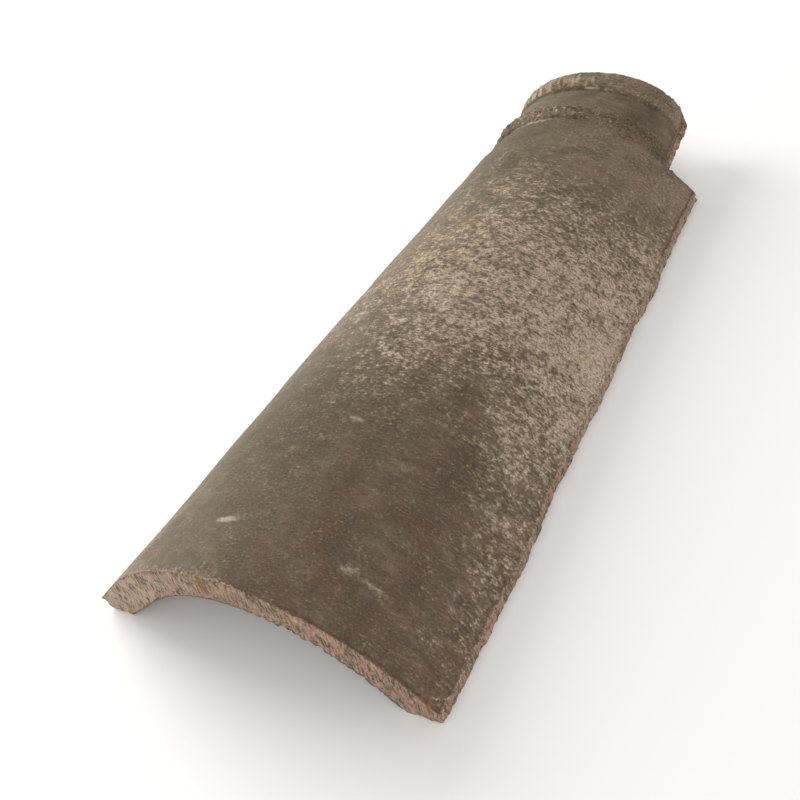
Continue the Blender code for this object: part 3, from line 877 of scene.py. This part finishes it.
def smoked_hand_wiped_clay(c):
    """Fired clay, smoked dark in the kiln after its skin was wiped by a wet hand, then left on
    a roof. The eye sees a matt grey-brown skin with faint drags across the arch, a crust of
    pale lichen in flecks of 1 to 4 mm, and sandy pink clay wherever it was cut or knocked.
    Painted light is laid in too: pale highlight lines along the head's two ledges, a paler
    left front corner for a painted sheen, and a painted green-grey tint over the left side."""
    material = bpy.data.materials.new("smoked_hand_wiped_clay")
    material.use_nodes = True
    tree = material.node_tree
    tree.nodes.clear()
    it = {}                   # every field, grain and colour by its name
    for name in ("lichen", "warm", "painted_grazing_tint", "wiped_and_sheen", "smoky", "front", "scuff_and_highlight", "rust", "rosy",
                 "sandy", "band", "roll", "grime", "edge", "end", "inside"):
        it[name] = add(tree, "ShaderNodeAttribute", attribute_name=name).outputs["Fac"]
    for name in ("clay_place", "cut_place"):
        it[name] = add(tree, "ShaderNodeAttribute", attribute_name=name).outputs["Vector"]
    for name, (place, size, detail, roughness) in GRAINS.items():
        mapped = add(tree, "ShaderNodeMapping", [("Vector", it[place]), ("Scale", size)],
                     vector_type="TEXTURE").outputs[0]
        it[name] = add(tree, "ShaderNodeTexNoise",
                       [("Vector", mapped), ("Scale", 1.0), ("Detail", detail),
                        ("Roughness", roughness)]).outputs["Fac"]

    # Sums of grains and fields: (name, first, how much of it, second, how much of it)
    for name, first, much, second, more in (
            ("speck", "fleck", 0.45, "crumb", 0.55),
            ("speck", "speck", 0.80, "clot", 0.20),
            ("cover", "speck", 1.00, "lichen", 0.286),
            ("pale", "drag", 0.55, "blotch", 0.45),
            ("pale", "pale", 1.00, "wiped_and_sheen", 0.22),
            ("peaty", "stain", 1.00, "front", 0.06),
            ("mottle", "crumb", 0.60, "sand", 0.40),
            ("mottle", "mottle", 1.00, "clot", 0.25),
            ("gritty", "crumb", 0.80, "wiped_and_sheen", 0.20),
            ("dirt", "sand", 0.50, "grit", 0.50),
            ("pitted", "dirt", 1.00, "band", -0.10),
            ("pitted", "pitted", 1.00, "wiped_and_sheen", -0.03),
            ("torn", "grit", 0.40, "stroke", 0.60),
            ("torn", "torn", 1.00, "clump", -0.30),
            ("cut", "end", 1.00, "edge", 1.00),
            ("cut", "cut", 1.00, "grit", 2.00),
            ("grimy", "grime", 0.50, "grit", 1.00),
            ("rusty", "rust", 0.45, "clump", 0.70),
            ("rubbed_and_highlit", "scuff_and_highlight", 0.75, "crumb", 0.50),
            ("blushing", "rosy", 0.30, "clump", -0.75),
            ("streak", "roll", 0.25, "axial", 0.75),
            ("furrow", "roll", 0.25, "axial", -0.75)):
        part = add(tree, "ShaderNodeMath", [(0, it[first]), (1, much)], operation="MULTIPLY")
        it[name] = add(tree, "ShaderNodeMath",
                       [(0, it[second]), (1, more), (2, part.outputs[0])],
                       operation="MULTIPLY_ADD").outputs[0]

    # Coats of colour, from the clay up: (over what, where, from, to, how much, colour)
    it.update(skin=c.smoke, crust=c.lichen, cut_clay=c.clay, below=c.underside)
    for name, where, low, high, much, coat in (
            # Wiped skin, with the painted sheen of the left front corner
            ("skin", "pale", 0.46, 0.74, 0.90, c.wiped_and_sheen),
            ("skin", "peaty", 0.50, 0.66, 0.30, c.peat),
            ("skin", "peaty", 0.48, 0.34, 0.35, c.algae_and_grazing_tint),
            # Painted grazing tint: the algae colour over the left side, for the green-grey it shows
            # at a low angle
            ("skin", "painted_grazing_tint", 0.0, 1.0, 0.20, c.algae_and_grazing_tint),
            ("skin", "smoky", 0.0, 1.0, 0.50, c.soil),
            ("skin", "blotch", 0.48, 0.34, 0.24, c.soil),
            ("skin", "drag", 0.46, 0.32, 0.12, c.soil),
            ("skin", "streak", 0.57, 0.74, 0.75, c.lichen_warm),
            ("skin", "furrow", -0.13, -0.05, 0.65, c.grime),
            ("skin", "mottle", 0.61, 0.47, 0.50, c.soil),
            ("skin", "mottle", 0.64, 0.81, 0.60, c.dust),
            ("skin", "gritty", 0.55, 0.72, 0.40, c.lichen),
            ("skin", "cover", 0.55, 0.70, 0.55, c.lichen_shade),
            ("crust", "warm", 0.0, 1.0, 0.6, c.lichen_warm),
            ("crust", "stain", 0.50, 0.64, 0.45, c.lichen_warm),
            ("crust", "mottle", 0.62, 0.80, 0.50, c.lichen_fresh),
            ("crust", "sand", 0.56, 0.40, 0.70, c.lichen_shade),
            ("skin", "cover", 0.63, 0.76, 1.00, "crust"),
            ("skin", "pitted", 0.43, 0.33, 0.60, c.soil),
            # Pale scuffs, and the painted highlights along the head's ledges
            ("skin", "rubbed_and_highlit", 0.42, 0.82, 0.85, c.scuff_and_highlight),
            ("cut_clay", "clump", 0.42, 0.60, 0.90, c.clay_pale),
            ("cut_clay", "sandy", 0.0, 1.0, 0.50, c.clay_light),
            ("cut_clay", "blushing", -0.16, 0.02, 0.38, c.clay_rosy),
            ("cut_clay", "torn", 0.37, 0.26, 0.74, c.soil),
            ("cut_clay", "torn", 0.36, 0.50, 0.65, c.clay_light),
            ("cut_clay", "sand", 0.54, 0.70, 0.38, c.clay_light),
            ("below", "blotch", 0.42, 0.64, 0.70, c.smoke),
            ("below", "dirt", 0.47, 0.36, 0.60, c.soil),
            ("skin", "cut", 1.40, 1.62, 1.00, "cut_clay"),
            ("skin", "grimy", 0.60, 0.95, 0.80, c.grime),
            ("skin", "rusty", 0.56, 0.90, 0.75, c.clay_red),
            ("skin", "inside", 0.30, 0.70, 1.00, "below")):
        # Sockets 1, 2 and 4 are From Min, From Max and To Max, and 6 and 7 the colours mixed
        share = add(tree, "ShaderNodeMapRange",
                    [(0, it[where]), (1, low), (2, high), (4, much)],
                    interpolation_type="SMOOTHSTEP").outputs[0]
        over = it[coat] if isinstance(coat, str) else coat
        it[name] = add(tree, "ShaderNodeMix", [(0, share), (6, it[name]), (7, over)],
                       data_type="RGBA").outputs[2]

    crusty = add(tree, "ShaderNodeMapRange", [(0, it["cover"]), (1, 0.56), (2, 0.76),
                                              (4, 0.35)]).outputs[0]
    height = add(tree, "ShaderNodeMath", [(0, it["dirt"]), (1, crusty)], operation="ADD")
    relief = add(tree, "ShaderNodeBump", [("Height", height.outputs[0]),
                                          ("Distance", 0.5 * MM), ("Strength", 0.8)])
    shader = add(tree, "ShaderNodeBsdfPrincipled",
                 [("Base Color", it["skin"]), ("Normal", relief.outputs[0]),
                  ("Roughness", 0.85), ("Specular IOR Level", 0.15), ("Sheen Weight", 0.25),
                  ("Sheen Roughness", 0.5), ("Sheen Tint", c.bloom)])
    out = add(tree, "ShaderNodeOutputMaterial", [("Surface", shader.outputs[0])])
    out.is_active_output = True
    return material


def matt_painted_board(c):
    """Board rolled with matt white paint: an even pale ground with no gloss."""
    material = bpy.data.materials.new("matt_painted_board")
    material.use_nodes = True
    shader = material.node_tree.nodes["Principled BSDF"]
    shader.inputs["Base Color"].default_value = (*c, 1.0)
    shader.inputs["Roughness"].default_value = 0.9
    shader.inputs["Specular IOR Level"].default_value = 0.2
    return material


# ---- Pieces ----
def new_object(context, name, data):
    """An object of that data, put in the scene."""
    made = bpy.data.objects.new(name, data)
    context.scene.collection.objects.link(made)
    return made


def tile_data(skin, points, spots, fields):
    """The mesh, with its fields for the material and its flat page as its UV map."""
    data = bpy.data.meshes.new("half_round_ridge_tile")
    data.from_pydata(points.tolist(), [], skin.faces)
    data.shade_smooth()
    for name, values in (("clay_place", skin.places), ("cut_place", spots)):
        made = data.attributes.new(name, "FLOAT_VECTOR", "POINT")
        made.data.foreach_set("vector", values.astype(np.float32).reshape(-1))
    for name, values in fields.items():
        made = data.attributes.new(name, "FLOAT", "POINT")
        made.data.foreach_set("value", values.astype(np.float32))
    page = data.uv_layers.new(name="OFBake")
    flat = np.concatenate([np.array(corners) for corners in skin.pages]) / PAGE
    page.data.foreach_set("uv", flat.astype(np.float32).reshape(-1))
    return data


class RIDGETILE_OT_lay_tile(bpy.types.Operator):
    """Makes the ridge tile, crown up, in place of its plain solid"""
    bl_idname = "ridge_tile.lay_tile"
    bl_label = "Lay the tile"

    def execute(self, context):
        sizes = context.scene.ridge_tile_sizes
        skin = build_skin(sizes)
        data = tile_data(skin, *carve(skin, sizes))
        data.materials.append(smoked_hand_wiped_clay(context.scene.ridge_tile_colours))
        tile = new_object(context, "weathered_ridge_tile", data)
        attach(tile, "root")
        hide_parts("half_round_tile")
        return {"FINISHED"}


class RIDGETILE_OT_set_stage(bpy.types.Operator):
    """Sets the pale floor, the soft studio light and the camera"""
    bl_idname = "ridge_tile.set_stage"
    bl_label = "Set the stage"

    def execute(self, context):
        studio = context.scene.ridge_tile_studio
        self.floor(context, studio)
        self.room(context, studio)
        for light in LIGHTS:
            self.softbox(context, *light)
        self.camera(context, studio)
        return {"FINISHED"}

    def floor(self, context, studio):
        data = bpy.data.meshes.new("studio_floor")
        corners = [(x * FLOOR_HALF, y * FLOOR_HALF, 0.0)
                   for x, y in ((-1, -1), (1, -1), (1, 1), (-1, 1))]
        data.from_pydata(corners, [], [(0, 1, 2, 3)])
        data.materials.append(matt_painted_board(studio.floor))
        floor = new_object(context, "studio_floor", data)
        floor.location.z = CAD_BOX[0].z - FLOOR_GAP

    def room(self, context, studio):
        world = bpy.data.worlds.new("pale_room")
        world.use_nodes = True
        sky = world.node_tree.nodes["Background"]
        sky.inputs["Color"].default_value = (1.0, 1.0, 1.0, 1.0)
        sky.inputs["Strength"].default_value = studio.sky
        context.scene.world = world

    def softbox(self, context, name, place, side, power):
        data = bpy.data.lights.new(name, "AREA")
        data.shape, data.size, data.energy = "SQUARE", side, power
        light = new_object(context, name, data)
        light.location = place
        light.rotation_euler = Vector(place).to_track_quat("Z", "Y").to_euler()

    def camera(self, context, studio):
        turn, rise = studio.turn, studio.rise
        back = Vector((math.sin(turn) * math.cos(rise), -math.cos(turn) * math.cos(rise),
                       math.sin(rise)))
        right = Vector((math.cos(turn), math.sin(turn), 0.0))
        axes = Matrix((right, back.cross(right), back)).transposed()
        axes = axes @ Matrix.Rotation(studio.tilt, 3, "Z")
        data = bpy.data.cameras.new("studio_camera")
        data.lens, data.sensor_width, data.clip_end = studio.lens, SENSOR_WIDTH, CLIP_END
        camera = new_object(context, "studio_camera", data)
        camera.matrix_world = Matrix.Translation(AIM + back * studio.distance) @ axes.to_4x4()
        context.scene.camera = camera
        context.scene.view_settings.view_transform = "Standard"


class RIDGETILE_PT_panel(bpy.types.Panel):
    """The ridge tile's steps and sizes"""
    bl_idname = "RIDGETILE_PT_panel"
    bl_label = "Ridge tile"
    bl_space_type = "VIEW_3D"
    bl_region_type = "UI"
    bl_category = "Ridge tile"

    def draw(self, context):
        for operator in OPERATORS:
            self.layout.operator(operator.bl_idname)
        for group in GROUPS:
            column = self.layout.column()
            owner = getattr(context.scene, group)
            for name in owner.__annotations__:
                column.prop(owner, name)


OPERATORS = (RIDGETILE_OT_lay_tile, RIDGETILE_OT_set_stage)
GROUPS = {
    "ridge_tile_sizes": RidgeTileSizes,
    "ridge_tile_colours": RidgeTileColours,
    "ridge_tile_studio": RidgeTileStudio,
}


def register():
    for made in (*GROUPS.values(), *OPERATORS, RIDGETILE_PT_panel):
        bpy.utils.register_class(made)
    for name, group in GROUPS.items():
        setattr(bpy.types.Scene, name, PointerProperty(type=group))


def unregister():
    for name in GROUPS:
        delattr(bpy.types.Scene, name)
    for made in (RIDGETILE_PT_panel, *OPERATORS[::-1], *GROUPS.values()):
        bpy.utils.unregister_class(made)


def main():
    register()
    bpy.ops.ridge_tile.lay_tile()
    bpy.ops.ridge_tile.set_stage()
    bpy.context.view_layer.update()


if __name__ == "__main__":
    main()
